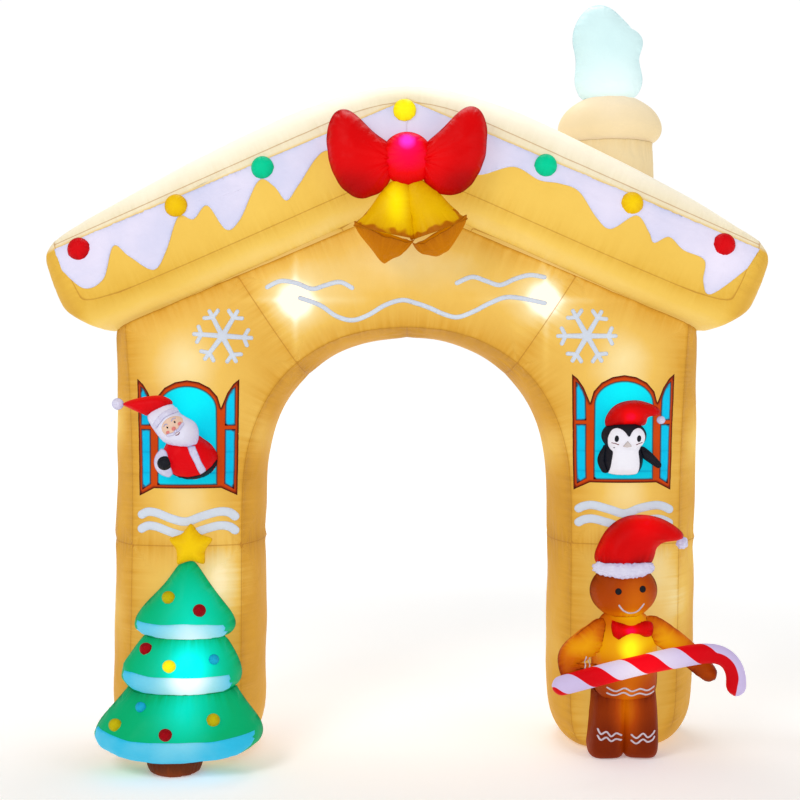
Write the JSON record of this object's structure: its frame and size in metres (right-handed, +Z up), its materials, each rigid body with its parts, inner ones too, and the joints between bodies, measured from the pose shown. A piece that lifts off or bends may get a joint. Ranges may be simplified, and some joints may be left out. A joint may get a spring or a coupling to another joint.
{
  "type": "inflatable arch",
  "caption": "Walk-through inflatable gingerbread-house arch with a gabled roof, bow, bells, chimney, tree and figures.",
  "frame": {"origin": "on the ground, under the middle of the whole arch with its tree, figures and bow", "axes": "+X to the right as a visitor faces the decorated front, -Y is the decorated front, +Z up"},
  "size_m": [2.8468, 0.9939, 3.052],
  "materials": {
    "gold_cloth": "satin",
    "cream_cloth": "satin",
    "icing_cloth": "satin",
    "red_cloth": "satin",
    "yellow_cloth": "satin",
    "green_cloth": "satin",
    "smoke_cloth": "satin",
    "pane_cloth": "satin",
    "white_cloth": "satin",
    "black_cloth": "satin",
    "brown_cloth": "satin",
    "blue_cloth": "satin",
    "amber_cloth": "satin"
  },
  "bodies": {
    "root": {"wall": "gold_cloth", "roof": "cream_cloth", "chimney_stack": "cream_cloth", "chimney_cap": "cream_cloth", "smoke": "smoke_cloth", "icing_left": "icing_cloth", "icing_right": "icing_cloth", "candy_1": "red_cloth", "candy_2": "yellow_cloth", "candy_3": "green_cloth", "candy_4": "yellow_cloth", "candy_5": "green_cloth", "candy_6": "yellow_cloth", "candy_7": "red_cloth", "bow_knot": "red_cloth", "bow_left": "red_cloth", "bow_right": "red_cloth", "bell_left": "yellow_cloth", "bell_right": "yellow_cloth", "bell_mouth_left": "amber_cloth", "bell_mouth_right": "amber_cloth", "window_left": "pane_cloth", "window_right": "pane_cloth", "santa_body": "red_cloth", "santa_head": "white_cloth", "santa_hat": "red_cloth", "santa_pompom": "white_cloth", "santa_cuff": "white_cloth", "santa_mitten": "black_cloth", "penguin_body": "black_cloth", "penguin_head": "black_cloth", "penguin_hat": "red_cloth", "penguin_pompom": "white_cloth", "penguin_wing_right": "black_cloth", "penguin_wing_left": "black_cloth", "tree_top": "green_cloth", "tree_middle": "green_cloth", "tree_bottom": "green_cloth", "tree_trunk": "brown_cloth", "tree_star": "yellow_cloth", "tree_ball_1": "yellow_cloth", "tree_ball_2": "red_cloth", "tree_ball_3": "red_cloth", "tree_ball_4": "yellow_cloth", "tree_ball_5": "blue_cloth", "tree_ball_6": "blue_cloth", "tree_ball_7": "yellow_cloth", "tree_ball_8": "red_cloth", "tree_ball_9": "yellow_cloth", "man_body": "brown_cloth", "man_head": "brown_cloth", "man_leg_left": "brown_cloth", "man_leg_right": "brown_cloth", "man_arm_left": "brown_cloth", "man_arm_right": "brown_cloth", "man_hat": "red_cloth", "man_brim": "white_cloth", "man_pompom": "white_cloth", "man_bow_tie": "red_cloth", "candy_cane": "red_cloth"}
  },
  "joints": []
}
